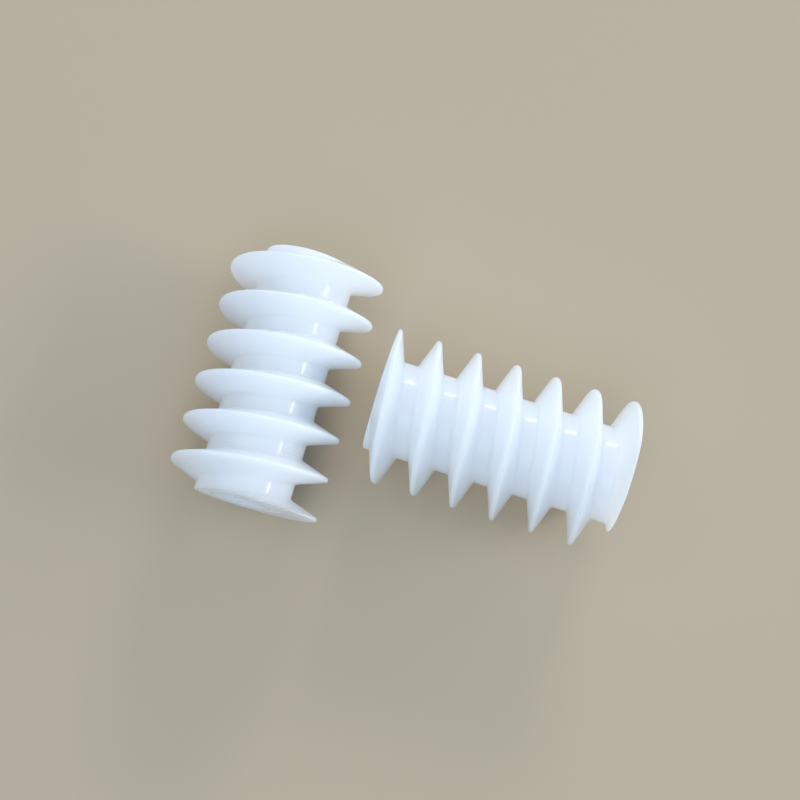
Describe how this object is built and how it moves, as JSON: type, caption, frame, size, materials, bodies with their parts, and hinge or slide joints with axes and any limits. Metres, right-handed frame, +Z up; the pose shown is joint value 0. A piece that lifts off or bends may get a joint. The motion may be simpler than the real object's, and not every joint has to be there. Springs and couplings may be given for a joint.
{
  "type": "worm gear set",
  "caption": "Matching small white moulded plastic worms, single-start right-hand thread with deep V grooves, square-cut ends and a press-fit motor-shaft bore, lying loose side by side.",
  "frame": {"origin": "bottom centre of the set's bounding box, on the surface that both worms lie on", "axes": "+Z up from that surface; +X along the right worm's bore, away from the left worm; +Y square to both"},
  "size_m": [0.017, 0.01, 0.006],
  "materials": {
    "white_plastic": "as-moulded natural white acetal, semi-gloss, slightly translucent"
  },
  "bodies": {
    "left_worm": {"left_worm": "white_plastic"},
    "right_worm": {"right_worm": "white_plastic"}
  },
  "joints": [
    {"name": "right_worm_spin", "type": "hinge", "parent": "left_worm", "child": "right_worm", "pos_m": [0.00355, 0.0003, 0.003], "axis": [1, 0, 0], "continuous": true}
  ]
}
